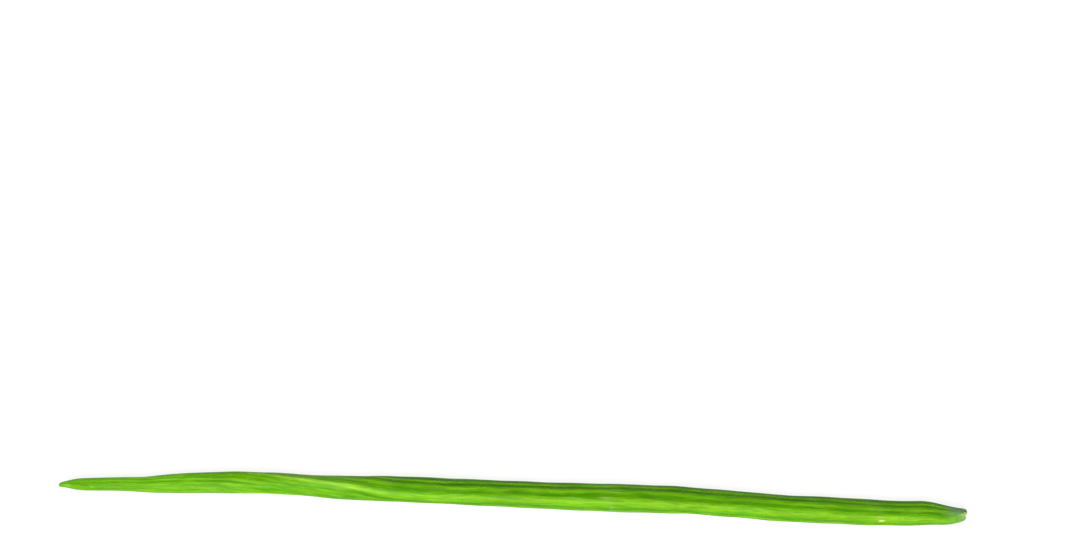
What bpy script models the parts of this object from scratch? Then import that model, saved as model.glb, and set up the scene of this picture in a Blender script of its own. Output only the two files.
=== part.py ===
# A fresh moringa pod, picked and lying on its side: one grown piece with a beak, a ribbed body and the
# scar of its stalk. It lies along X with the beak at -X and the stalk at +X, and z = 0 is the surface
# that it lies on.

import math

import bmesh
import bpy

mm = 0.001

# Driving sizes of the pod
pod_length = 500 * mm
# Grooves between the nine ribs, as angles in degrees from the ridge on the upper side: the three
# broadest ribs are the corners of the three-sided section
groove_turns = [-182, -150, -95, -74, -34, 33, 57, 86, 148, 178]
groove_reach = 23  # most degrees from a groove's bottom to where the rib's crest is level
groove_depth = 0.39 * mm  # from a rib's crest to the groove beside it, at the corners
face_depth = 0.16 * mm  # how much deeper the groove in the middle of a face is
corner_rise = 0.26 * mm  # how much the three-sided section stands out at its corners
ridge_rise = 0.24 * mm  # how much a corner's rib stands over the other ribs
seed_spacing = 27 * mm
seed_swell = 0.16 * mm
scar_foot = 6.4 * mm  # height at the stalk end where the scar's slope of 45 degrees starts

# Each pair below is a distance from the beak's tip and a size there, in millimetres

# Half of the pod's thickness
girth = [
    (0, 0.4), (0.5, 1.05), (1.6, 1.4), (3.5, 1.75), (6, 2.3), (9, 3.0), (12, 3.4), (20, 3.6),
    (44, 4.1), (53, 4.85), (66, 5.5), (84, 5.95), (104, 6.25), (124, 5.95), (144, 6.1), (154, 6.6),
    (170, 7.0), (190, 7.2), (245, 7.35), (280, 7.55), (308, 7.85), (335, 7.7), (350, 7.4),
    (436, 7.4), (456, 7.05), (474, 6.8), (483, 6.15), (489, 5.35), (493, 4.5), (496, 3.7),
    (497.5, 3.0), (498.2, 2.15), (498.7, 1.8), (500, 1.65),
]
# How far the pod bends to +Y of the straight line between its ends
side_bend = [
    (0, 0.2), (1.6, 0.5), (4, 0.75), (12, 0.95), (36, 1.8), (46, 1.9), (62, 2.9), (80, 3.9),
    (103, 4.85), (119, 5.25), (136, 4.85), (152, 4.15), (170, 3.9), (194, 3.75), (243, 3.1), (276, 2.8),
    (342, 2.9), (358, 2.2), (375, 1.45), (400, 0.1), (425, -0.25), (450, -0.65), (464, -0.6),
    (478, 0), (490, -0.7), (495, -0.4), (497.3, 0), (500, 1.1),
]
# Height of the pod's middle line, low at the three places where it rests
height = [
    (0, 6.3), (40, 6.1), (70, 5.9), (100, 5.55), (150, 6.5), (200, 7.2), (250, 6.4), (305, 7.7),
    (375, 7.35), (425, 6.55), (462, 7.1), (500, 7.7),
]
# How much of the ribs shows, from none to all
rib_strength = [
    (0, 0), (5, 0.15), (45, 0.32), (90, 0.65), (140, 1), (472, 1), (486, 0.7), (494, 0.15),
    (496, 0), (500, 0),
]

# How much of the grooves' depth is left where the pod is twisted
groove_strength = [(0, 1), (85, 0.9), (108, 0.45), (145, 0.5), (180, 1), (500, 1)]
# Where the ridge on the pod's upper side runs, as a distance in millimetres and an angle in degrees
# from straight up towards -Y: the pod is twisted over its thin third
ridge_turn = [
    (0, -86), (60, -82), (90, -74), (108, -56), (122, -41), (138, -29), (157, -15), (170, 0),
    (186, 18), (210, 26), (245, 19), (285, 17), (320, 15), (355, 19), (390, 15), (425, 19), (450, 23),
    (480, 24), (500, 24),
]

# The mesh
pod_sides = 36  # faces round the pod
finest_ring = 0.4 * mm
widest_ring = 5.2 * mm
ring_growth = 1.26

# The pod's own colours
skin_green = (0.135, 0.42, 0.012)
skin_roughness = 0.42


def smooth(pairs, distance):
    """A curve through the pairs, level with its neighbours at every point, for a distance in metres."""
    at = distance / mm
    if at <= pairs[0][0]:
        return pairs[0][1]
    for i in range(len(pairs) - 1):
        if at <= pairs[i + 1][0]:
            break
    (x0, y0), (x1, y1) = pairs[i], pairs[i + 1]
    span = x1 - x0
    slope = (y1 - y0) / span
    before = slope if i == 0 else (y0 - pairs[i - 1][1]) / (x0 - pairs[i - 1][0])
    after = slope if i + 2 == len(pairs) else (pairs[i + 2][1] - y1) / (pairs[i + 2][0] - x1)
    start = 0 if before * slope <= 0 else 2 * before * slope / (before + slope)
    end = 0 if after * slope <= 0 else 2 * after * slope / (after + slope)
    t = (at - x0) / span
    bend_in = t * (1 - t) ** 2
    bend_out = t * t * (t - 1)
    return y0 + (y1 - y0) * t * t * (3 - 2 * t) + span * (start * bend_in + end * bend_out)


def ring_distances():
    """Distances of the mesh's rings from the beak's tip: close together at both ends, even between them."""
    growing = []
    step = finest_ring
    while step < widest_ring:
        growing.append(step)
        step *= ring_growth
    middle = pod_length - 2 * sum(growing)
    count = math.ceil(middle / widest_ring)
    steps = growing + [middle / count] * count + growing[::-1]
    distances = [0.0]
    for step in steps:
        distances.append(distances[-1] + step)
    return distances


def groove_wave(turn):
    """1 in the middle of a groove and 0 on the crest between two of them."""
    first = groove_turns[0]
    degrees = (math.degrees(turn) - first) % 360 + first
    for before, after in zip(groove_turns, groove_turns[1:]):
        if degrees <= after:
            break
    reach = min(groove_reach, (after - before) / 2)
    away = min(degrees - before, after - degrees, reach)
    return (1 + math.cos(math.pi * away / reach)) / 2


def pod_radius(distance, turn):
    """Distance of the skin from the middle line, at an angle from the ridge on the upper side."""
    strength = smooth(rib_strength, distance)
    corner = math.cos(3 * turn)
    groove = groove_wave(turn) * smooth(groove_strength, distance)
    depth = groove_depth + face_depth * max(0.0, -corner)
    ridge = max(0.0, corner) ** 4
    seed = (1 + math.cos(math.tau * distance / seed_spacing)) / 2
    relief = corner_rise * corner + ridge_rise * ridge - depth * groove - seed_swell * seed
    return smooth(girth, distance) * mm + strength * relief


def skin_point(distance, turn):
    """A point of the skin, level where the pod would reach below the surface, sloping at the stalk's scar."""
    angle = turn + math.radians(smooth(ridge_turn, distance))
    radius = pod_radius(distance, turn)
    x = distance - pod_length / 2
    y = smooth(side_bend, distance) * mm - radius * math.sin(angle)
    z = smooth(height, distance) * mm + radius * math.cos(angle)
    z = min(z, scar_foot + pod_length - distance)
    return x, y, max(z, 0.0)


def skin_material():
    material = bpy.data.materials.new("pod_skin")
    material.use_nodes = True
    shader = material.node_tree.nodes["Principled BSDF"]
    shader.inputs["Base Color"].default_value = (*skin_green, 1)
    shader.inputs["Roughness"].default_value = skin_roughness
    shader.inputs["Metallic"].default_value = 0
    material.diffuse_color = (*skin_green, 1)
    return material


def make_pod():
    """The pod: a long cylinder, cut into rings, with every ring shaped and moved to its place."""
    sides = pod_sides
    distances = ring_distances()
    mesh = bpy.data.meshes.new("pod")
    bm = bmesh.new()
    bmesh.ops.create_cone(
        bm, cap_ends=True, segments=sides, radius1=1, radius2=1, depth=2
    )
    lengthwise = [edge for edge in bm.edges if abs(edge.verts[0].co.z - edge.verts[1].co.z) > 1]
    bmesh.ops.subdivide_edges(bm, edges=lengthwise, cuts=len(distances) - 2, use_grid_fill=False)
    for vertex in bm.verts:
        ring = round((vertex.co.z + 1) / 2 * (len(distances) - 1))
        column = round(math.atan2(vertex.co.y, vertex.co.x) / math.tau * sides)
        vertex.co = skin_point(distances[ring], column * math.tau / sides)
    middle_y = (max(v.co.y for v in bm.verts) + min(v.co.y for v in bm.verts)) / 2
    bmesh.ops.translate(bm, verts=bm.verts, vec=(0, -middle_y, 0))
    bmesh.ops.recalc_face_normals(bm, faces=bm.faces)
    bm.to_mesh(mesh)
    bm.free()
    mesh.shade_smooth()
    mesh.set_sharp_from_angle(angle=math.radians(50))
    pod = bpy.data.objects.new("pod", mesh)
    mesh.materials.append(skin_material())
    return pod


def main():
    for old in list(bpy.data.objects):
        bpy.data.objects.remove(old, do_unlink=True)
    collection = bpy.data.collections.new("moringa_pod")
    bpy.context.scene.collection.children.link(collection)
    collection.objects.link(make_pod())


main()
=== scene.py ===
import math
import bpy
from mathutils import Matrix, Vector, noise


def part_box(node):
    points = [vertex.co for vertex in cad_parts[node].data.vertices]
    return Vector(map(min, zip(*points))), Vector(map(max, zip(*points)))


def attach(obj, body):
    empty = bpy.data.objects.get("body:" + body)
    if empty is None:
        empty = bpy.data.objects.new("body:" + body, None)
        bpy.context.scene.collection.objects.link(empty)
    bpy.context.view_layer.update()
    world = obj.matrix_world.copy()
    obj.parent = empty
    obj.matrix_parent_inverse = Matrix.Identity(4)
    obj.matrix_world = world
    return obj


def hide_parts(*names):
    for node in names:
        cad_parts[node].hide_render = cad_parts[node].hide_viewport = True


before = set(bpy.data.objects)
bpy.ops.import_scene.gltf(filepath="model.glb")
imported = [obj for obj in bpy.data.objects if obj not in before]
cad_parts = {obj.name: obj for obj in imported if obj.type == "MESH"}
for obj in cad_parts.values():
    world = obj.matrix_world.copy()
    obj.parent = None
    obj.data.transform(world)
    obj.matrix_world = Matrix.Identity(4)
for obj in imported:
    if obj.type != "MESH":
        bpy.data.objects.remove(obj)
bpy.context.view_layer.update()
podLow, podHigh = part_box("pod")
mm = 0.001

# The pod's shape. Each list gives distances from the beak's tip and the size there, in millimetres, or the
# angle in degrees from straight up towards -Y
podShape = {
    "length": podHigh.x - podLow.x,
    # grooves between the nine ribs, from the ridge: the three broadest ribs are the corners
    "grooveTurns": [-182, -150, -95, -74, -34, 33, 57, 86, 148, 178],
    "grooveReach": 23,  # most degrees from a groove to where the rib's crest is level
    "sides": 36,
    "finestRing": 0.4 * mm,
    "widestRing": 4.2 * mm,
    "ringGrowth": 1.26,
    "girth": [
        (0, 0.4), (0.5, 1.05), (1.6, 1.4), (3.5, 1.75), (6, 2.3), (9, 3.0), (12, 3.4), (20, 3.6),
        (44, 4.1), (53, 4.85), (66, 5.5), (84, 5.95), (104, 6.25), (124, 5.95), (144, 6.1), (154, 6.6),
        (170, 7.0), (190, 7.2), (245, 7.35), (280, 7.55), (308, 7.85), (335, 7.7), (350, 7.4),
        (436, 7.4), (456, 7.05), (474, 6.8), (483, 6.15), (489, 5.35), (493, 4.55), (495, 4.15),
        (496, 3.93), (497.5, 3.57), (498.5, 3.1), (499.2, 2.6), (500, 1.3),
    ],
    "sideBend": [
        (0, 0.2), (1.6, 0.5), (4, 0.75), (12, 0.95), (36, 1.8), (46, 1.9), (62, 2.9), (80, 3.9),
        (103, 4.85), (119, 5.25), (136, 4.85), (152, 4.15), (170, 3.9), (194, 3.75), (243, 3.1), (276, 2.8),
        (342, 2.9), (358, 2.2), (375, 1.45), (400, 0.1), (425, -0.25), (450, -0.65), (464, -0.6),
        (478, 0), (490, -0.7), (493, -0.55), (495, -0.35), (497.5, 0), (499.2, 0.55), (500, 1.2),
    ],
    "height": [
        (0, 6.3), (40, 6.1), (70, 5.9), (100, 5.55), (150, 6.5), (200, 7.2), (250, 6.4), (305, 7.7),
        (375, 7.35), (425, 6.55), (462, 7.1), (500, 7.7),
    ],
    "ribStrength": [
        (0, 0), (5, 0.15), (45, 0.32), (90, 0.65), (140, 1), (472, 1), (486, 0.7), (494, 0.15),
        (496, 0), (500, 0),
    ],
    # how much of the grooves is left where the pod is twisted
    "grooveStrength": [(0, 1), (85, 0.9), (108, 0.45), (145, 0.5), (180, 1), (500, 1)],
    "ridgeTurn": [
        (0, -86), (60, -82), (90, -74), (108, -56), (122, -41), (138, -29), (157, -15), (170, 0),
        (186, 18), (210, 26), (245, 19), (285, 17), (320, 15), (355, 19), (390, 15), (425, 19), (450, 23),
        (480, 24), (500, 24),
    ],
}

# how far each kind of relief pushes the skin out or in, at its strongest
podRelief = {
    "corners": 0.26 * mm,
    "faces": -0.26 * mm,
    "ridges": 0.15 * mm,
    "grooves": -0.39 * mm,
    "faceGrooves": -0.16 * mm,
    "betweenSeeds": -0.16 * mm,
    "nerves": -0.08 * mm,
    "dents": -0.14 * mm,
    "scar": 0.16 * mm,
}


def sizeAt(pairs, distance):
    # a smooth curve through the pairs, with no overshoot, for a distance in metres
    at = distance / mm
    if at <= pairs[0][0]:
        return pairs[0][1]
    for i in range(len(pairs) - 1):
        if at <= pairs[i + 1][0]:
            break
    (x0, y0), (x1, y1) = pairs[i], pairs[i + 1]
    span = x1 - x0
    slope = (y1 - y0) / span
    before = slope if i == 0 else (y0 - pairs[i - 1][1]) / (x0 - pairs[i - 1][0])
    after = slope if i + 2 == len(pairs) else (pairs[i + 2][1] - y1) / (pairs[i + 2][0] - x1)
    start = 0 if before * slope <= 0 else 2 * before * slope / (before + slope)
    end = 0 if after * slope <= 0 else 2 * after * slope / (after + slope)
    t = (at - x0) / span
    bendIn = t * (1 - t) ** 2
    bendOut = t * t * (t - 1)
    return y0 + (y1 - y0) * t * t * (3 - 2 * t) + span * (start * bendIn + end * bendOut)


def girthAt(distance):
    return sizeAt(podShape["girth"], distance) * mm


def middleAt(distance):
    # the pod's middle line, before the whole pod is set against the frame
    return Vector((
        podLow.x + distance,
        sizeAt(podShape["sideBend"], distance) * mm,
        podLow.z + sizeAt(podShape["height"], distance) * mm,
    ))


def ridgeAngle(distance):
    return math.radians(sizeAt(podShape["ridgeTurn"], distance))


def stationDistances():
    growing = []
    step = podShape["finestRing"]
    while step < podShape["widestRing"]:
        growing.append(step)
        step *= podShape["ringGrowth"]
    middle = podShape["length"] - 2 * sum(growing)
    count = math.ceil(middle / podShape["widestRing"])
    steps = growing + [middle / count] * count + growing[::-1]
    distances = [0.0]
    for step in steps:
        distances.append(distances[-1] + step)
    return distances


def openEditing(obj):
    bpy.ops.object.select_all(action="DESELECT")
    obj.select_set(True)
    bpy.context.view_layer.objects.active = obj
    bpy.ops.object.mode_set(mode="EDIT")
    bpy.ops.mesh.select_mode(type="VERT")
    bpy.ops.mesh.select_all(action="DESELECT")


def closeEditing():
    bpy.ops.object.mode_set(mode="OBJECT")


def applyModifier(obj, modifier):
    bpy.context.view_layer.objects.active = obj
    bpy.ops.object.modifier_apply(modifier=modifier.name)


def settle(obj):
    # its place and turn go into its mesh
    bpy.ops.object.select_all(action="DESELECT")
    obj.select_set(True)
    bpy.context.view_layer.objects.active = obj
    bpy.ops.object.transform_apply(location=True, rotation=True, scale=True)


def growTube(name, places, radii, turns, sides):
    # a disc, extruded from station to station, each time turned, widened and moved to the next one
    bpy.ops.object.select_all(action="DESELECT")
    bpy.ops.mesh.primitive_circle_add(
        vertices=sides, radius=radii[0], fill_type="NGON", location=places[0],
        rotation=(0, math.pi / 2, 0),
    )
    obj = bpy.context.object
    obj.name = name
    obj.data.name = name
    settle(obj)
    openEditing(obj)
    bpy.ops.mesh.select_all(action="SELECT")
    turned = 0
    for i in range(len(places)):
        if i > 0:
            step = places[i] - places[i - 1]
            wider = radii[i] / radii[i - 1]
            bpy.ops.mesh.extrude_region_move(TRANSFORM_OT_translate={"value": step})
            bpy.ops.transform.resize(value=(1, wider, wider), center_override=places[i])
        bpy.ops.transform.rotate(value=turned - turns[i], orient_axis="X", center_override=places[i])
        turned = turns[i]
    bpy.ops.mesh.select_all(action="SELECT")
    bpy.ops.mesh.normals_make_consistent(inside=False)
    closeEditing()
    return obj


def refine(obj, levels):
    modifier = obj.modifiers.new("fineSkin", "SUBSURF")
    modifier.levels = modifier.render_levels = levels
    applyModifier(obj, modifier)


def pushBy(obj, name, amount, weightOf):
    # a Displace modifier along the normals, held to a vertex group whose weights follow a rule
    group = obj.vertex_groups.new(name=name)
    for vertex in obj.data.vertices:
        weight = weightOf(vertex.index)
        if weight > 0.001:
            group.add([vertex.index], min(weight, 1), "REPLACE")
    modifier = obj.modifiers.new(name, "DISPLACE")
    modifier.strength = amount
    modifier.mid_level = 0
    modifier.vertex_group = name
    applyModifier(obj, modifier)
    obj.vertex_groups.remove(obj.vertex_groups[name])


print("stage 1: the pod's skin")

stations = stationDistances()
podSkin = growTube(
    "pod_skin",
    [middleAt(d) for d in stations],
    [girthAt(d) for d in stations],
    [ridgeAngle(d) for d in stations],
    podShape["sides"],
)
refine(podSkin, 2)

# every point's place on the skin: its distance from the tip, and its turn from the ridge
skinPlaces = []
for vertex in podSkin.data.vertices:
    distance = vertex.co.x - podLow.x
    offset = vertex.co - middleAt(distance)
    turn = math.atan2(-offset.y, offset.z) - ridgeAngle(distance)
    turn = (turn + math.pi) % math.tau - math.pi
    skinPlaces.append((distance, turn))


patternRadius = 7.3 * mm


def straightened(place):
    # the same place on a straight, untwisted pod: patterns read this, so they follow the real one's twist
    distance, turn = place
    return Vector((distance, -patternRadius * math.sin(turn), patternRadius * math.cos(turn)))


straightPlaces = [straightened(place) for place in skinPlaces]
ribPower = [sizeAt(podShape["ribStrength"], distance) for distance, turn in skinPlaces]

# a small healed wound on the ridge, where the skin stands out
healedScar = {
    "distance": 452.5 * mm,
    "turn": math.radians(-1),
    "halfLength": 3.8 * mm,
    "halfWidth": 2.2 * mm,
    # its edge, as a share of its half sizes
    "outerEdge": 1.1,
    "edgeWidth": 0.5,
    "farthest": 1.4,
    "raggedness": 0.35,
    "edgeNoise": 900,
}
# the seeds under the skin, each a little off its even place
seedRow = {
    "spacing": 27 * mm,
    "drift": 2.5 * mm,
    "driftNoise": (14, 0.4),
}
# how often nerves and dents change along and across the pod, in a metre
nerveNoise = (22, 1150)
dentNoise = (90, 210)
# the fine relief starts and ends over these lengths of the beak and of the stalk end
fineReliefEnds = {
    "beak": 12 * mm,
    "stalk": 14 * mm,
    "bareStalk": 0.25,
}


def cornerWave(i):
    return math.cos(3 * skinPlaces[i][1])


def grooveWave(i):
    # 1 in a groove, 0 on a crest; a groove is narrower than the rounded rib beside it
    distance, turn = skinPlaces[i]
    grooves = podShape["grooveTurns"]
    degrees = (math.degrees(turn) - grooves[0]) % 360 + grooves[0]
    for before, after in zip(grooves, grooves[1:]):
        if degrees <= after:
            break
    reach = min(podShape["grooveReach"], (after - before) / 2)
    away = min(degrees - before, after - degrees, reach)
    wave = (1 + math.cos(math.pi * away / reach)) / 2
    return wave ** 1.2 * sizeAt(podShape["grooveStrength"], distance)


def seedGap(i):
    # 1 between two seeds, 0 over the middle of one
    distance, turn = skinPlaces[i]
    along, around = seedRow["driftNoise"]
    drift = noise.noise(Vector((distance * along, 3.1, turn * around)))
    place = distance + seedRow["drift"] * drift
    return (1 + math.cos(math.tau * place / seedRow["spacing"])) / 2


def nerveWave(i):
    # fine lengthwise nerves between the ribs
    x, y, z = straightPlaces[i]
    along, across = nerveNoise
    return 0.5 + 0.5 * noise.noise(Vector((x * along, y * across, z * across)))


def dentWave(i):
    # shallow dents here and there
    x, y, z = straightPlaces[i]
    along, across = dentNoise
    return max(0, noise.noise(Vector((x * along + 7, y * across, z * across)))) ** 1.2


def scarWave(i):
    # 1 inside the healed wound, 0 past its ragged edge
    x, y, z = straightPlaces[i]
    middle = straightened((healedScar["distance"], healedScar["turn"]))
    far = math.hypot((x - middle.x) / healedScar["halfLength"], (y - middle.y) / healedScar["halfWidth"])
    if z < 0 or far > healedScar["farthest"]:
        return 0
    scale = healedScar["edgeNoise"]
    ragged = healedScar["raggedness"] * noise.noise(Vector((x * scale, y * scale, z * scale)))
    return max(0, min(1, (healedScar["outerEdge"] + ragged - far) / healedScar["edgeWidth"]))


def fineRelief(wave, least):
    # weaker where the pod has no ribs, and fading out towards the beak's tip and the stalk
    def weightOf(i):
        fromTip = skinPlaces[i][0]
        fromStalk = podShape["length"] - fromTip
        beak = fromTip / fineReliefEnds["beak"]
        stalk = fromStalk / fineReliefEnds["stalk"] - fineReliefEnds["bareStalk"]
        return (least + (1 - least) * ribPower[i]) * max(0, min(1, beak, stalk)) * wave(i)
    return weightOf


def faded(wave):
    return lambda i: ribPower[i] * wave(i)


pushBy(podSkin, "corners", podRelief["corners"], faded(lambda i: max(0, cornerWave(i))))
pushBy(podSkin, "faces", podRelief["faces"], faded(lambda i: max(0, -cornerWave(i))))
pushBy(podSkin, "ridges", podRelief["ridges"], faded(lambda i: max(0, cornerWave(i)) ** 4))
pushBy(podSkin, "grooves", podRelief["grooves"], faded(grooveWave))
pushBy(
    podSkin, "faceGrooves", podRelief["faceGrooves"],
    faded(lambda i: grooveWave(i) * max(0, -cornerWave(i))),
)
pushBy(podSkin, "betweenSeeds", podRelief["betweenSeeds"], faded(seedGap))
pushBy(podSkin, "nerves", podRelief["nerves"], fineRelief(nerveWave, 0.35))
pushBy(podSkin, "dents", podRelief["dents"], fineRelief(dentWave, 0.4))
pushBy(podSkin, "scar", podRelief["scar"], scarWave)

# where the stalk came off: the end is cut to a slope of 45 degrees, with a rim around a hollow
scarSlope = {
    "foot": Vector((podHigh.x, 0, podLow.z + 6.4 * mm)),
    "hollow": -0.22 * mm,
    "rimWidth": 0.5 * mm,
    "rimTop": 0.3,  # share of the rim's width that stays level
    "edgeRound": 0.14 * mm,
    "colourEdge": 0.3 * mm,
}


def selectWhere(obj, rule):
    openEditing(obj)
    closeEditing()
    for vertex in obj.data.vertices:
        vertex.select = rule(vertex)
    bpy.ops.object.mode_set(mode="EDIT")


def insideSkin(vertex):
    # how far a point of the slope is from the slope's rim
    distance = vertex.co.x - podLow.x
    offset = vertex.co - middleAt(distance)
    return girthAt(distance) - math.hypot(offset.y, offset.z)


# what is beyond the slope goes straight back onto it, so the rim stays on the skin
overSlope = []
fromRim = []
for vertex in podSkin.data.vertices:
    beyond = vertex.co.x - scarSlope["foot"].x + vertex.co.z - scarSlope["foot"].z
    vertex.co.x -= max(0, beyond)
    overSlope.append(beyond)
    fromRim.append(insideSkin(vertex) if beyond > 0 else 0)
selectWhere(podSkin, lambda vertex: abs(overSlope[vertex.index]) < scarSlope["edgeRound"])
bpy.ops.mesh.vertices_smooth(factor=0.5, repeat=3)
closeEditing()
pushBy(
    podSkin, "hollow", scarSlope["hollow"],
    lambda i: max(0, min(1, fromRim[i] / scarSlope["rimWidth"] - scarSlope["rimTop"])),
)

# the low places are pressed level with the surface that the pod lies on
selectWhere(podSkin, lambda vertex: vertex.co.z < podLow.z)
bpy.ops.transform.resize(value=(1, 1, 0), center_override=(0, 0, podLow.z))
closeEditing()

print("stage 2: places on the skin for the materials and for baking")


def giveAttribute(obj, name, kind, values):
    field = "vector" if kind == "FLOAT_VECTOR" else "value"
    attribute = obj.data.attributes.new(name, kind, "POINT")
    for i, value in enumerate(values):
        setattr(attribute.data[i], field, value)


giveAttribute(podSkin, "skin", "FLOAT_VECTOR", straightPlaces)
ribShares = [1 - ribPower[i] * grooveWave(i) for i in range(len(skinPlaces))]
cornerShares = [max(0, cornerWave(i)) ** 4 * ribPower[i] for i in range(len(skinPlaces))]
slopeShares = [max(0, min(1, over / scarSlope["colourEdge"])) for over in overSlope]
giveAttribute(podSkin, "rib", "FLOAT", ribShares)
giveAttribute(podSkin, "corner", "FLOAT", cornerShares)
giveAttribute(podSkin, "slope", "FLOAT", slopeShares)

bakeRows = {"count": 3, "margin": 0.006}


def foldSkinForBaking(obj):
    # the long skin lies in rows, one third of the pod in each, so the baked picture is used to its edges
    uvMap = obj.data.uv_layers.new(name="OFBake")
    rowLength = podShape["length"] / bakeRows["count"]
    rowHeight = 1 / bakeRows["count"]
    margin = bakeRows["margin"]
    for face in obj.data.polygons:
        corners = [skinPlaces[obj.data.loops[j].vertex_index] for j in face.loop_indices]
        middle = sum(corner[0] for corner in corners) / len(corners)
        row = min(int(middle / rowLength), bakeRows["count"] - 1)
        first = corners[0][1]
        turns = [first + (corner[1] - first + math.pi) % math.tau - math.pi for corner in corners]
        if sum(turns) / len(turns) > math.pi:
            turns = [turn - math.tau for turn in turns]
        for j, corner, turn in zip(face.loop_indices, corners, turns):
            across = 0.5 + turn / math.tau
            ahead = (corner[0] - row * rowLength) / rowLength
            uvMap.data[j].uv = (
                margin + (1 - 2 * margin) * ahead,
                row * rowHeight + margin + (rowHeight - 2 * margin) * min(max(across, 0), 1),
            )


foldSkinForBaking(podSkin)
for face in podSkin.data.polygons:
    face.use_smooth = True

# set against the frame, as the solid is
skinYs = [vertex.co.y for vertex in podSkin.data.vertices]
sideShift = (podLow.y + podHigh.y) / 2 - (min(skinYs) + max(skinYs)) / 2
podSkin.location.y = sideShift
settle(podSkin)

print("stage 3: the scar of the stalk")

stalkScar = {
    "sides": 40,
    "radius": 1.85 * mm,
    "depth": 1.5 * mm,
    "stretch": (1.16, 0.98, 1),
    "rimRound": 0.3 * mm,
    # width of each ring from the rim inwards, and how far it lies over the one outside it
    "rings": [
        (0.22 * mm, -0.1 * mm), (0.3 * mm, -0.05 * mm),
        (0.35 * mm, 0.06 * mm), (0.4 * mm, 0.08 * mm),
    ],
    "distance": 497.95 * mm,
    "side": -0.05 * mm,
    "rise": 0.34 * mm,  # over the sloping cut
    "unevenness": 0.1 * mm,
    "unevenNoise": 900,
    "noiseSeed": 7,
}


def roughen(obj, amount, scale, seed):
    # seeded, because noise_vector would otherwise give another shape in each run
    noise.seed_set(seed)
    for vertex in obj.data.vertices:
        shift = noise.noise_vector(vertex.co * scale + Vector((3.7, 3.7, 3.7)))
        vertex.co += shift * amount


def makeStalkScar():
    bpy.ops.object.select_all(action="DESELECT")
    bpy.ops.mesh.primitive_cylinder_add(
        vertices=stalkScar["sides"], radius=stalkScar["radius"], depth=stalkScar["depth"],
        location=(0, 0, -stalkScar["depth"] / 2),
    )
    scar = bpy.context.object
    scar.name = "stalk_scar"
    scar.data.name = "stalk_scar"
    settle(scar)
    openEditing(scar)
    closeEditing()
    for face in scar.data.polygons:
        face.select = face.normal.z > 0.9
    bpy.ops.object.mode_set(mode="EDIT")
    bpy.ops.mesh.select_mode(type="FACE")
    bpy.ops.mesh.bevel(offset=stalkScar["rimRound"], segments=3)
    for width, lift in stalkScar["rings"]:
        bpy.ops.mesh.inset(thickness=width, depth=lift)
    bpy.ops.mesh.select_all(action="SELECT")
    bpy.ops.transform.resize(value=stalkScar["stretch"])
    closeEditing()
    refine(scar, 2)
    roughen(scar, stalkScar["unevenness"], stalkScar["unevenNoise"], stalkScar["noiseSeed"])
    giveAttribute(scar, "scarPlace", "FLOAT_VECTOR", [vertex.co.copy() for vertex in scar.data.vertices])
    distance = stalkScar["distance"]
    rise = stalkScar["rise"] * math.sqrt(0.5)
    scar.location = (
        podLow.x + distance + rise,
        sideShift + stalkScar["side"],
        scarSlope["foot"].z + podShape["length"] - distance + rise,
    )
    scar.rotation_euler = (0, math.radians(45), 0)
    settle(scar)
    bpy.ops.object.shade_smooth_by_angle(angle=math.radians(50))
    return scar


stalkScarPiece = makeStalkScar()

print("stage 4: materials")


def addNode(tree, kind, inputs=None, **settings):
    # a node, its settings, and what goes into its sockets: a value, or another node's output
    made = tree.nodes.new("ShaderNode" + kind)
    for setting, value in settings.items():
        setattr(made, setting, value)
    for socket, value in (inputs or {}).items():
        if isinstance(value, bpy.types.NodeSocket):
            tree.links.new(value, made.inputs[socket])
        else:
            made.inputs[socket].default_value = value
    return made


def newMaterial(name):
    material = bpy.data.materials.new(name)
    material.use_nodes = True
    tree = material.node_tree
    return material, tree, tree.nodes["Principled BSDF"]


def mixColours(tree, factor, first, second):
    made = addNode(tree, "Mix", data_type="RGBA")
    for index, value in ((0, factor), (6, first), (7, second)):
        if isinstance(value, bpy.types.NodeSocket):
            tree.links.new(value, made.inputs[index])
        elif index == 0:
            made.inputs[index].default_value = value
        else:
            made.inputs[index].default_value = (*value, 1)
    return made.outputs[2]


def calculate(tree, operation, *values):
    made = addNode(tree, "Math", operation=operation)
    for index, value in enumerate(values):
        if isinstance(value, bpy.types.NodeSocket):
            tree.links.new(value, made.inputs[index])
        else:
            made.inputs[index].default_value = value
    return made.outputs[0]


def remap(tree, value, low, high, toLow=0.0, toHigh=1.0):
    # one range of values carried over to another, with a soft start and end
    made = addNode(tree, "MapRange", {
        "Value": value, "From Min": low, "From Max": high, "To Min": toLow, "To Max": toHigh,
    }, interpolation_type="SMOOTHSTEP")
    return made.outputs["Result"]


def stretched(tree, vector, scale, shift=(0, 0, 0)):
    made = addNode(tree, "Mapping", {"Vector": vector, "Scale": scale, "Location": shift})
    return made.outputs["Vector"]


def noiseOf(tree, vector, detail, roughness=0.5):
    made = addNode(tree, "TexNoise", {
        "Vector": vector, "Scale": 1.0, "Detail": detail, "Roughness": roughness,
    })
    return made.outputs["Fac"]


def lightened(tree, colour, pattern, contrast, low=0.3, high=0.7):
    # a colour made lighter and darker where the pattern is high and low
    value = remap(tree, pattern, low, high, 1 - contrast, 1 + contrast)
    return addNode(tree, "HueSaturation", {"Value": value, "Color": colour}).outputs[0]


def product(tree, first, second):
    return calculate(tree, "MULTIPLY", first, second)


def shareOf(tree, vector, axis):
    return addNode(tree, "SeparateXYZ", {0: vector}).outputs[axis]


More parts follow.
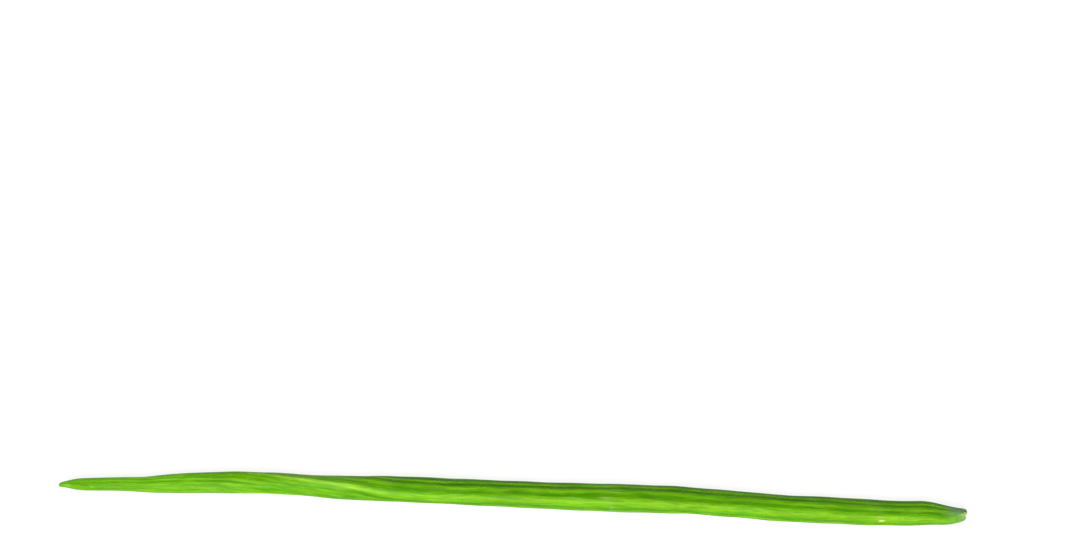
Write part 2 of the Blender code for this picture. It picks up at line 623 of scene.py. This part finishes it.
skinColours = {
    "groove": (0.086, 0.305, 0.002),
    "side": (0.120, 0.380, 0.003),
    "crest": (0.136, 0.405, 0.004),
    "ridge": (0.172, 0.435, 0.005),
    "twistLine": (0.32, 0.66, 0.05),
    "twistAbove": (0.17, 0.50, 0.012),
    "lenticel": (0.40, 0.60, 0.18),
    "darkFleck": (0.035, 0.150, 0.006),
    "scuff": (0.30, 0.52, 0.12),
    "beak": (0.127, 0.385, 0.004),
    # painted light on the beak's upper side
    "beakPaintedLight": (0.17, 0.56, 0.012),
    "stalkEnd": (0.175, 0.43, 0.04),
    "stalkDark": (0.12, 0.34, 0.03),
    # painted shade with a painted grey sheen, for the stalk end's upper side
    "stalkShadeAndSheen": (0.16, 0.29, 0.15),
    "slopePale": (0.33, 0.56, 0.17),
    # painted shade on the slope's upper side
    "slopePaintedShade": (0.13, 0.27, 0.09),
    "slopeBrown": (0.21, 0.25, 0.05),
    # a painted highlight, as pale torn fibres
    "tornAndHighlight": (0.84, 0.90, 0.74),
}

# single marks seen on the real skin, and one painted shadow: distances and half sizes in millimetres, turns
# in degrees
skinMarks = [
    {"colour": (0.24, 0.62, 0.06), "amount": 0.8, "at": 5, "turn": 95,
     "size": (3.2, 0.7), "ragged": 0.4, "fade": 0.9},
    {"colour": (0.20, 0.26, 0.02), "amount": 0.6, "at": 6, "turn": 42,
     "size": (3.2, 0.4), "ragged": 0.7, "fade": 0.7},
    {"colour": (0.20, 0.20, 0.03), "amount": 0.7, "at": 8.5, "turn": 140,
     "size": (2.8, 0.4), "ragged": 0.7, "fade": 0.7},
    {"colour": (0.125, 0.24, 0.003), "amount": 0.9, "at": 14.5, "turn": 88,
     "size": (4.4, 1.0), "ragged": 0.9, "fade": 0.8},
    {"colour": (0.14, 0.20, 0.01), "amount": 0.8, "at": 15, "turn": 140,
     "size": (2.4, 0.4), "ragged": 0.8, "fade": 0.7},
    {"colour": (0.28, 0.52, 0.012), "amount": 0.6, "at": 18.5, "turn": 104,
     "size": (2.0, 0.7), "ragged": 0.6, "fade": 0.9},
    {"colour": (0.16, 0.15, 0.03), "amount": 0.5, "at": 23, "turn": 20,
     "size": (3.6, 0.25), "ragged": 0.8, "fade": 0.8},
    {"colour": (0.15, 0.20, 0.01), "amount": 0.8, "at": 31, "turn": 66,
     "size": (2.6, 0.45), "ragged": 0.9, "fade": 0.8},
    {"colour": (0.18, 0.26, 0.01), "amount": 0.8, "at": 32, "turn": 128,
     "size": (4.0, 0.4), "ragged": 0.8, "fade": 0.8},
    {"colour": (0.12, 0.14, 0.012), "amount": 0.45, "at": 271, "turn": -69,
     "size": (22, 1.5), "ragged": 1.6, "fade": 1.0},
    {"colour": (0.38, 0.58, 0.20), "amount": 0.6, "at": 300.5, "turn": -23,
     "size": (5.4, 0.6), "ragged": 1.1, "fade": 1.0},
    {"colour": (0.34, 0.56, 0.18), "amount": 0.4, "at": 304, "turn": 24,
     "size": (2.6, 1.8), "ragged": 1.0, "fade": 1.2},
    # a painted shadow: a long dark green band along the upper side
    {"colour": (0.06, 0.19, 0.002), "amount": 0.8, "at": 450, "turn": -84,
     "size": (46, 1.3), "ragged": 0.6, "fade": 1.1},
    {"colour": (0.17, 0.47, 0.006), "amount": 0.5, "at": 438, "turn": -63,
     "size": (34, 1.1), "ragged": 0.6, "fade": 1.1},
    {"colour": (0.34, 0.58, 0.12), "amount": 0.28, "at": 463.5, "turn": -9,
     "size": (1.4, 2.3), "ragged": 0.8, "fade": 1.2},
    {"colour": (0.09, 0.26, 0.02), "amount": 0.6, "at": 492.6, "turn": -43,
     "size": (1.0, 0.8), "ragged": 0.9, "fade": 0.9},
    {"colour": (0.09, 0.26, 0.02), "amount": 0.6, "at": 493.8, "turn": -8,
     "size": (0.9, 0.8), "ragged": 0.9, "fade": 0.9},
]

# a healed scar across the ridge: a corky streak, a pale spot beside it, and their olive edges
scarMarks = {
    "edge": {
        "colour": (0.16, 0.30, 0.02), "amount": 0.5, "at": 452, "turn": 19,
        "size": (3.8, 0.7), "ragged": 1.0, "fade": 0.9,
    },
    "between": {
        "colour": (0.24, 0.40, 0.04), "amount": 0.6, "at": 452.5, "turn": -1,
        "size": (4.0, 0.9), "ragged": 0.9, "fade": 0.8,
    },
    "streak": {
        "colour": (0.34, 0.50, 0.075), "amount": 1.0, "at": 452.0, "turn": -11,
        "size": (4.6, 0.8), "ragged": 1.0, "fade": 0.7,
    },
    "tail": {
        "colour": (0.36, 0.46, 0.09), "amount": 0.4, "at": 449.3, "turn": 9,
        "size": (2.2, 0.4), "ragged": 0.8, "fade": 0.8,
    },
    "spot": {
        "colour": (0.53, 0.74, 0.15), "amount": 1.0, "at": 452.4, "turn": 7,
        "size": (2.6, 1.0), "ragged": 0.8, "fade": 0.6,
    },
}


# between a groove and a crest, or below a ridge, each green goes from none to all over this range
greenRanges = {
    "side": (0.05, 0.75),
    "crest": (0.6, 1.0),
    "ridge": (0.25, 1.0),
    "twistLine": (0.45, 0.95),
}
# how often each pattern changes along and across the pod, in a metre, and how fine it gets
skinPatterns = {
    "patches": {"scale": (22, 120, 120), "detail": 3},
    "fibres": {"scale": (110, 1500, 1500), "detail": 4, "roughness": 0.6},
    "bands": {"scale": (60, 520, 520), "shift": (5, 2, 9), "detail": 2},
    "scuffs": {"scale": (75, 330, 330), "shift": (2, 7, 4), "detail": 5, "roughness": 0.65},
    "blotches": {"scale": (420, 520, 520), "shift": (1, 4, 2), "detail": 3},
    "specks": {"scale": (1400, 1400, 1400), "detail": 3},
    "wobble": {"scale": (700, 900, 900), "detail": 2},
    "cork": {"scale": (1500, 1900, 1900), "detail": 3},
}
# flecks lie in the middles of cells, and their edges are shaken
fleckCells = {
    "scale": (420, 1500, 1500),
    "shakeScale": (900, 1800, 1800),
    "shake": 1.2 * mm,
}
# how wide a fleck is in its cell, which cells have one, and how strong it is
skinFlecks = {
    "lenticel": {"width": (0.34, 0.12), "chance": ("Red", 0.86, 0.89), "amount": 0.28},
    "darkFleck": {"width": (0.30, 0.10), "chance": ("Green", 0.92, 0.94), "amount": 0.5},
}
# how much lighter and darker each pattern makes the skin
skinContrast = {
    "patches": 0.10,
    "fibres": 0.20,
    "bands": 0.10,
    "scuffs": 0.32,
}
# from where to where along the pod each change goes from none to all
skinStretches = {
    "twistBegins": (96 * mm, 112 * mm),
    "twistEnds": (200 * mm, 140 * mm),
    "beak": (60 * mm, 10 * mm),
    "beakPaintedLight": (100 * mm, 60 * mm),
    "stalkEnd": (485 * mm, 493 * mm),
    "plainStalk": (488 * mm, 496 * mm),
}
# sides of the skin: the direction across the pod, and how far that way each goes from none to all
skinSides = {
    "twistBelow": ((0, -0.97, 0.26), 3.5 * mm, 6 * mm),
    "twistAbove": ((0, 0.57, 0.82), 4 * mm, 6 * mm),
    # the side of the beak that gets painted light
    "beakPaintedLight": ((0, -0.26, 0.97), 5.2 * mm, 6.8 * mm),
}
skinSurface = {
    "roughInGroove": 0.52,
    "roughOnCrest": 0.40,
    "roughScar": 0.3,
    "roughStalk": 0.2,
    "specular": 0.08,
    "sheen": 0.17,
    "sheenRoughness": 0.2,
    "sheenTint": (0.85, 1.0, 1.0, 1),
    "bump": 0.55,
    "bumpHeight": 0.12 * mm,
}
# how high each pattern stands in the skin's fine relief
bumpShares = {
    "fibres": 0.8,
    "lenticels": 0.35,
    "cork": 1.6,
    "specks": 1.2,
}
# at the stalk end one side of the skin gets painted shade with a painted grey sheen, and one side of the
# slope gets painted shade
stalkSides = {
    "shadeAndSheenFrom": (4 * mm, 7.5 * mm),
    "shadeAndSheenRaggedness": 3 * mm,
    "slopeShadeFrom": (0.6 * mm, 3.0 * mm),
    "slopeShadeRaggedness": 1.5 * mm,
}
# a painted highlight at the foot of the slope, shaped as pale torn fibres
tornFibresHighlight = {
    "side": -0.2 * mm,
    "reach": 2.0 * mm,
    "whiteReach": 1.4 * mm,
    "raggedness": 1.2 * mm,
}


def patternOf(tree, vector, name):
    pattern = skinPatterns[name]
    spread = stretched(tree, vector, pattern["scale"], pattern.get("shift", (0, 0, 0)))
    return noiseOf(tree, spread, pattern["detail"], pattern.get("roughness", 0.5))


def sideOf(tree, skin, name, most=1.0):
    direction, none, full = skinSides[name]
    towards = addNode(tree, "VectorMath", {0: skin, 1: direction}, operation="DOT_PRODUCT")
    return remap(tree, towards.outputs["Value"], none, full, 0, most)


def skinSpot(tree, skin, wobble, mark):
    # a ragged spot on the skin, as strong as the mark says, falling to 0 over its edge
    middle = straightened((mark["at"] * mm, math.radians(mark["turn"])))
    halfLength, halfWidth = mark["size"]
    halfWidth = halfWidth * patternRadius / girthAt(mark["at"] * mm)
    away = addNode(tree, "VectorMath", {0: skin, 1: tuple(middle)}, operation="SUBTRACT").outputs[0]
    sizes = (1 / (halfLength * mm), 1 / (halfWidth * mm), 1 / (halfWidth * mm))
    scaled = addNode(tree, "VectorMath", {0: away, 1: sizes}, operation="MULTIPLY").outputs[0]
    far = addNode(tree, "VectorMath", {0: scaled}, operation="LENGTH").outputs["Value"]
    rough = calculate(tree, "MULTIPLY_ADD", wobble, mark["ragged"], far)
    outside = 1 + mark["ragged"] / 2
    return product(tree, remap(tree, rough, outside, outside - mark["fade"]), mark["amount"])


def ribColours(tree, skin, distance):
    # green from groove to crest, palest along the three ridges and along the twist's pale line
    rib = addNode(tree, "Attribute", attribute_name="rib").outputs["Fac"]
    corner = addNode(tree, "Attribute", attribute_name="corner").outputs["Fac"]
    side = remap(tree, rib, *greenRanges["side"])
    colour = mixColours(tree, side, skinColours["groove"], skinColours["side"])
    crest = remap(tree, rib, *greenRanges["crest"])
    colour = mixColours(tree, crest, colour, skinColours["crest"])
    ridge = remap(tree, corner, *greenRanges["ridge"])
    colour = mixColours(tree, ridge, colour, skinColours["ridge"])

    # where the pod is twisted: darker below its pale line, lighter above it
    twist = product(
        tree, remap(tree, distance, *skinStretches["twistBegins"]),
        remap(tree, distance, *skinStretches["twistEnds"]),
    )
    below = product(tree, twist, sideOf(tree, skin, "twistBelow", 0.5))
    colour = mixColours(tree, below, colour, skinColours["groove"])
    above = product(tree, twist, sideOf(tree, skin, "twistAbove", 0.5))
    colour = mixColours(tree, above, colour, skinColours["twistAbove"])
    line = product(tree, remap(tree, corner, *greenRanges["twistLine"]), twist)
    colour = mixColours(tree, line, colour, skinColours["twistLine"])

    # the beak is limier, and its upper side is made lighter with painted light
    beak = remap(tree, distance, *skinStretches["beak"], 0, 0.75)
    colour = mixColours(tree, beak, colour, skinColours["beak"])
    beakPaintedLight = remap(tree, distance, *skinStretches["beakPaintedLight"])
    beakPaintedLight = product(tree, beakPaintedLight, sideOf(tree, skin, "beakPaintedLight"))
    return mixColours(tree, beakPaintedLight, colour, skinColours["beakPaintedLight"]), rib


def skinVariation(tree, skin, colour, fibres):
    # slow change along and around the pod, fibres that run along it, and soft pale scuffs in the wax
    colour = lightened(tree, colour, patternOf(tree, skin, "patches"), skinContrast["patches"])
    colour = lightened(tree, colour, fibres, skinContrast["fibres"])
    bands = patternOf(tree, skin, "bands")
    yellowing = remap(tree, bands, 0.34, 0.66, 0.505, 0.492)
    colour = addNode(tree, "HueSaturation", {"Hue": yellowing, "Color": colour}).outputs[0]
    colour = lightened(tree, colour, bands, skinContrast["bands"], 0.34, 0.66)
    scuffed = remap(tree, patternOf(tree, skin, "scuffs"), 0.56, 0.76, 0, skinContrast["scuffs"])
    return mixColours(tree, scuffed, colour, skinColours["scuff"])


def skinFleckColours(tree, skin, colour):
    # fine pale lenticels and small dark flecks, each in a few of the cells
    shakeVector = stretched(tree, skin, fleckCells["shakeScale"])
    shake = addNode(tree, "TexNoise", {"Vector": shakeVector, "Scale": 1.0}).outputs["Color"]
    most = (fleckCells["shake"],) * 3
    shaken = addNode(tree, "VectorMath", {0: shake, 1: most}, operation="MULTIPLY").outputs[0]
    ragged = addNode(tree, "VectorMath", {0: skin, 1: shaken}, operation="ADD").outputs[0]
    cellVector = stretched(tree, ragged, fleckCells["scale"])
    cells = addNode(tree, "TexVoronoi", {"Vector": cellVector, "Scale": 1.0})
    chances = addNode(tree, "SeparateColor", {0: cells.outputs["Color"]}).outputs
    shown = {}
    for name, fleck in skinFlecks.items():
        within = remap(tree, cells.outputs["Distance"], *fleck["width"])
        channel, none, full = fleck["chance"]
        shown[name] = product(tree, within, remap(tree, chances[channel], none, full))
        strength = product(tree, shown[name], fleck["amount"])
        colour = mixColours(tree, strength, colour, skinColours[name])
    return colour, shown["lenticel"]


def stalkEndColours(tree, skin, place, distance, slope, specks, colour):
    # duller and blotched over the last centimetre before the stalk, with painted shade and a painted grey
    # sheen on one side
    blotches = patternOf(tree, place, "blotches")
    blotched = remap(tree, blotches, 0.45, 0.62)
    dull = mixColours(tree, blotched, skinColours["stalkEnd"], skinColours["stalkDark"])
    skinSide = shareOf(tree, skin, "Y")
    # painted shade and painted grey sheen on the upper side
    shadeAndSheenSide = calculate(tree, "MULTIPLY_ADD", blotches, stalkSides["shadeAndSheenRaggedness"], skinSide)
    shadeAndSheen = remap(tree, shadeAndSheenSide, *stalkSides["shadeAndSheenFrom"], 0, 0.85)
    dull = mixColours(tree, shadeAndSheen, dull, skinColours["stalkShadeAndSheen"])
    ending = remap(tree, distance, *skinStretches["stalkEnd"], 0, 0.85)
    colour = mixColours(tree, ending, colour, dull)

    # the slope around the stalk's scar, pale, with painted shade on one side, speckled brown
    slopeSide = shareOf(tree, place, "Y")
    # painted shade on the slope's upper side
    slopeShadeSide = calculate(tree, "MULTIPLY_ADD", specks, stalkSides["slopeShadeRaggedness"], slopeSide)
    light, dark = stalkSides["slopeShadeFrom"]
    slopeShaded = remap(tree, slopeShadeSide, sideShift + light, sideShift + dark)
    around = mixColours(tree, slopeShaded, skinColours["slopePale"], skinColours["slopePaintedShade"])
    brown = remap(tree, specks, 0.54, 0.68, 0, 0.5)
    around = mixColours(tree, brown, around, skinColours["slopeBrown"])
    colour = mixColours(tree, product(tree, slope, 0.9), colour, around)

    # a painted highlight at the foot of the slope, shaped as pale torn fibres
    foot = (podHigh.x, sideShift + tornFibresHighlight["side"], scarSlope["foot"].z)
    fromFoot = addNode(tree, "VectorMath", {0: place, 1: foot}, operation="DISTANCE").outputs["Value"]
    raggedFoot = calculate(tree, "MULTIPLY_ADD", specks, tornFibresHighlight["raggedness"], fromFoot)
    tornAndHighlight = remap(tree, raggedFoot, tornFibresHighlight["reach"], tornFibresHighlight["whiteReach"], 0, 0.9)
    return mixColours(tree, tornAndHighlight, colour, skinColours["tornAndHighlight"]), ending


def podSkinMaterial():
    material, tree, shader = newMaterial("fresh_pod_skin")
    skin = addNode(tree, "Attribute", attribute_name="skin").outputs["Vector"]
    slope = addNode(tree, "Attribute", attribute_name="slope").outputs["Fac"]
    place = addNode(tree, "TexCoord").outputs["Object"]
    distance = shareOf(tree, skin, "X")
    fibres = patternOf(tree, skin, "fibres")
    specks = patternOf(tree, place, "specks")

    colour, rib = ribColours(tree, skin, distance)
    colour = skinVariation(tree, skin, colour, fibres)
    colour, lenticels = skinFleckColours(tree, skin, colour)
    colour, ending = stalkEndColours(tree, skin, place, distance, slope, specks, colour)

    # single marks, then the healed wound's, which are corky
    wobble = patternOf(tree, skin, "wobble")
    for mark in skinMarks:
        colour = mixColours(tree, skinSpot(tree, skin, wobble, mark), colour, mark["colour"])
    cork = patternOf(tree, skin, "cork")
    corky = remap(tree, cork, 0.3, 0.7, 0.7, 1.0)
    scar = 0.0
    for mark in scarMarks.values():
        spot = skinSpot(tree, skin, wobble, mark)
        colour = mixColours(tree, product(tree, spot, corky), colour, mark["colour"])
        scar = calculate(tree, "MAXIMUM", spot, scar)
    tree.links.new(colour, shader.inputs["Base Color"])

    # waxy skin: glossier on the crests, dull in the scar and at the stalk
    wax = remap(tree, rib, 0.2, 1.0, skinSurface["roughInGroove"], skinSurface["roughOnCrest"])
    wax = calculate(tree, "ADD", wax, remap(tree, fibres, 0.3, 0.7, -0.05, 0.06))
    wax = calculate(tree, "MULTIPLY_ADD", scar, skinSurface["roughScar"], wax)
    wax = calculate(tree, "MULTIPLY_ADD", ending, skinSurface["roughStalk"], wax)
    tree.links.new(wax, shader.inputs["Roughness"])
    shader.inputs["Specular IOR Level"].default_value = skinSurface["specular"]
    shader.inputs["Sheen Weight"].default_value = skinSurface["sheen"]
    shader.inputs["Sheen Roughness"].default_value = skinSurface["sheenRoughness"]
    shader.inputs["Sheen Tint"].default_value = skinSurface["sheenTint"]

    # fine relief: fibres, lenticels, the scar's cork and the slope's specks
    fibreHeight = remap(tree, distance, *skinStretches["plainStalk"], bumpShares["fibres"], 0)
    height = product(tree, fibres, fibreHeight)
    height = calculate(tree, "MULTIPLY_ADD", lenticels, bumpShares["lenticels"], height)
    height = calculate(tree, "MULTIPLY_ADD", product(tree, scar, cork), bumpShares["cork"], height)
    height = calculate(tree, "MULTIPLY_ADD", product(tree, slope, specks), bumpShares["specks"], height)
    bump = addNode(tree, "Bump", {
        "Height": height, "Strength": skinSurface["bump"], "Distance": skinSurface["bumpHeight"],
    })
    tree.links.new(bump.outputs["Normal"], shader.inputs["Normal"])
    return material


scarColours = {
    "lime": (0.34, 0.64, 0.08),
    # a painted highlight, as white torn fibres
    "tornAndHighlight": (0.90, 0.93, 0.78),
    "pith": (0.42, 0.66, 0.16),
    "vessels": (0.16, 0.38, 0.04),
    "brown": (0.30, 0.30, 0.06),
}


# the disc's pattern: rings by their distance from its middle, and the place of its painted highlight,
# shaped as white torn fibres
scarPattern = {
    "round": (0.86, 1.02, 0),
    "mottle": (1300, 1300, 1300),
    "wobble": 0.5 * mm,
    "vesselsInside": (0.85 * mm, 1.05 * mm),
    "vesselsOutside": (1.5 * mm, 1.25 * mm),
    "pith": (0.85 * mm, 0.5 * mm),
    "brownDepth": (-0.22 * mm, -0.5 * mm),
    "brownSide": (0.3 * mm, -0.9 * mm),
    "threads": (700, 2600, 2600),
    "threadLength": 2.4 * mm,
    "highlightFrom": (1.8 * mm, 2.3 * mm),
    "highlightSide": (-1.3 * mm, -0.8 * mm),
    "bumpHeight": 0.12 * mm,
}


def stalkScarMaterial():
    material, tree, shader = newMaterial("fresh_stalk_scar")
    place = addNode(tree, "Attribute", attribute_name="scarPlace").outputs["Vector"]
    flat = addNode(tree, "VectorMath", {0: place, 1: scarPattern["round"]}, operation="MULTIPLY").outputs[0]
    outward = addNode(tree, "VectorMath", {0: flat}, operation="LENGTH").outputs["Value"]
    mottle = noiseOf(tree, stretched(tree, place, scarPattern["mottle"]), detail=4.0)
    wobbly = calculate(tree, "MULTIPLY_ADD", mottle, scarPattern["wobble"], outward)
    along, across, up = addNode(tree, "SeparateXYZ", {0: place}).outputs

    # lime green, with a ring of darker vessels around pale pith, and a brown line below the rim
    ring = product(
        tree, remap(tree, wobbly, *scarPattern["vesselsInside"]),
        remap(tree, wobbly, *scarPattern["vesselsOutside"]),
    )
    colour = mixColours(tree, product(tree, ring, 0.4), scarColours["lime"], scarColours["vessels"])
    pith = remap(tree, wobbly, *scarPattern["pith"])
    colour = mixColours(tree, product(tree, pith, 0.8), colour, scarColours["pith"])
    brown = product(
        tree, remap(tree, up, *scarPattern["brownDepth"]),
        remap(tree, across, *scarPattern["brownSide"], 0.15, 1),
    )
    colour = mixColours(tree, brown, colour, scarColours["brown"])

    # a painted highlight on the side of the foot, shaped as white torn fibres
    threads = noiseOf(tree, stretched(tree, place, scarPattern["threads"]), detail=3.0)
    highlightEdge = calculate(tree, "MULTIPLY_ADD", threads, scarPattern["threadLength"], along)
    tornAndHighlight = product(
        tree, remap(tree, highlightEdge, *scarPattern["highlightFrom"]),
        remap(tree, across, *scarPattern["highlightSide"]),
    )
    colour = mixColours(tree, tornAndHighlight, colour, scarColours["tornAndHighlight"])
    colour = lightened(tree, colour, mottle, 0.25)
    tree.links.new(colour, shader.inputs["Base Color"])

    tree.links.new(remap(tree, mottle, 0.35, 0.65, 0.28, 0.42), shader.inputs["Roughness"])
    bump = addNode(tree, "Bump", {
        "Height": mottle, "Strength": 0.6, "Distance": scarPattern["bumpHeight"],
    })
    tree.links.new(bump.outputs["Normal"], shader.inputs["Normal"])
    return material


def paint(obj, material):
    obj.data.materials.clear()
    obj.data.materials.append(material)


paint(podSkin, podSkinMaterial())
paint(stalkScarPiece, stalkScarMaterial())

for piece, slot in ((podSkin, "pod_skin"), (stalkScarPiece, "cut_stalk")):
    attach(piece, "root")
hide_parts("pod")

print("stage 5: floor, lights and camera")

studio = {
    "floorSize": 40.0,
    "floorDrop": 0.05 * mm,
    "floorColour": (0.14, 0.14, 0.14, 1),
    "floorRoughness": 0.9,
    "floorSpecular": 0.1,
    "floorGlow": 0.9,
    "worldColour": (0.96, 0.98, 1.0, 1),
    "worldStrength": 0.1,
    "keyPlace": (-0.15, -0.72, 1.7),
    "keySize": 1.5,
    "keyPower": 51,
    "fillPlace": (0.2, 0.1, 2.2),
    "fillSize": 2.2,
    "fillPower": 3,
}


def makeFloor():
    bpy.ops.object.select_all(action="DESELECT")
    height = podLow.z - studio["floorDrop"]
    bpy.ops.mesh.primitive_plane_add(size=studio["floorSize"], location=(0, 0, height))
    floor = bpy.context.object
    floor.name = "floor"
    material, tree, shader = newMaterial("pale_floor")
    shader.inputs["Base Color"].default_value = studio["floorColour"]
    shader.inputs["Roughness"].default_value = studio["floorRoughness"]
    shader.inputs["Specular IOR Level"].default_value = studio["floorSpecular"]
    shader.inputs["Emission Color"].default_value = (1, 1, 1, 1)
    shader.inputs["Emission Strength"].default_value = studio["floorGlow"]
    paint(floor, material)


def makeSoftbox(name, place, size, power):
    bpy.ops.object.select_all(action="DESELECT")
    bpy.ops.object.light_add(type="AREA", location=place)
    light = bpy.context.object
    light.name = name
    light.data.shape = "DISK"
    light.data.size = size
    light.data.energy = power
    light.visible_camera = False
    light.rotation_euler = (-Vector(place)).to_track_quat("-Z", "Y").to_euler()


def makeWorld():
    world = bpy.data.worlds.new("studio")
    world.use_nodes = True
    background = world.node_tree.nodes["Background"]
    background.inputs["Color"].default_value = studio["worldColour"]
    background.inputs["Strength"].default_value = studio["worldStrength"]
    bpy.context.scene.world = world


# the photograph, 1080 by 533, seen from straight above; its pixels give the camera's place over the pod
photo = {
    "width": 1080,
    "height": 533,
    "tip": (58.5, 485.5),
    "stalk": (967.5, 515),
    "cameraHeight": 1.7,
    "levelHeight": 7 * mm,  # the pod's middle, from where the camera's height is measured
    "sensor": 36,
    "nearest": 0.05,
    "farthest": 50,
}


def makeCamera():
    across = photo["stalk"][0] - photo["tip"][0]
    down = photo["stalk"][1] - photo["tip"][1]
    metresPerPixel = podShape["length"] / math.hypot(across, down)
    lean = math.atan2(down, across)
    podMiddle = ((photo["tip"][0] + photo["stalk"][0]) / 2, (photo["tip"][1] + photo["stalk"][1]) / 2)
    right = (photo["width"] / 2 - podMiddle[0]) * metresPerPixel
    up = (podMiddle[1] - photo["height"] / 2) * metresPerPixel
    chordMiddle = Vector((podLow.x + podShape["length"] / 2, sideShift, 0))
    toRight = Vector((math.cos(lean), math.sin(lean), 0))
    toUp = Vector((-math.sin(lean), math.cos(lean), 0))
    place = chordMiddle + toRight * right + toUp * up
    camera = bpy.data.objects.new("camera", bpy.data.cameras.new("camera"))
    bpy.context.scene.collection.objects.link(camera)
    camera.location = (place.x, place.y, podLow.z + photo["levelHeight"] + photo["cameraHeight"])
    camera.rotation_euler = (0, 0, lean)
    camera.data.sensor_width = photo["sensor"]
    camera.data.lens = photo["sensor"] * photo["cameraHeight"] / (photo["width"] * metresPerPixel)
    camera.data.clip_start = photo["nearest"]
    camera.data.clip_end = photo["farthest"]
    bpy.context.scene.camera = camera


makeFloor()
makeSoftbox("key_softbox", studio["keyPlace"], studio["keySize"], studio["keyPower"])
makeSoftbox("fill_softbox", studio["fillPlace"], studio["fillSize"], studio["fillPower"])
makeWorld()
makeCamera()
bpy.context.scene.view_settings.view_transform = "Standard"

print("stage 6: done")
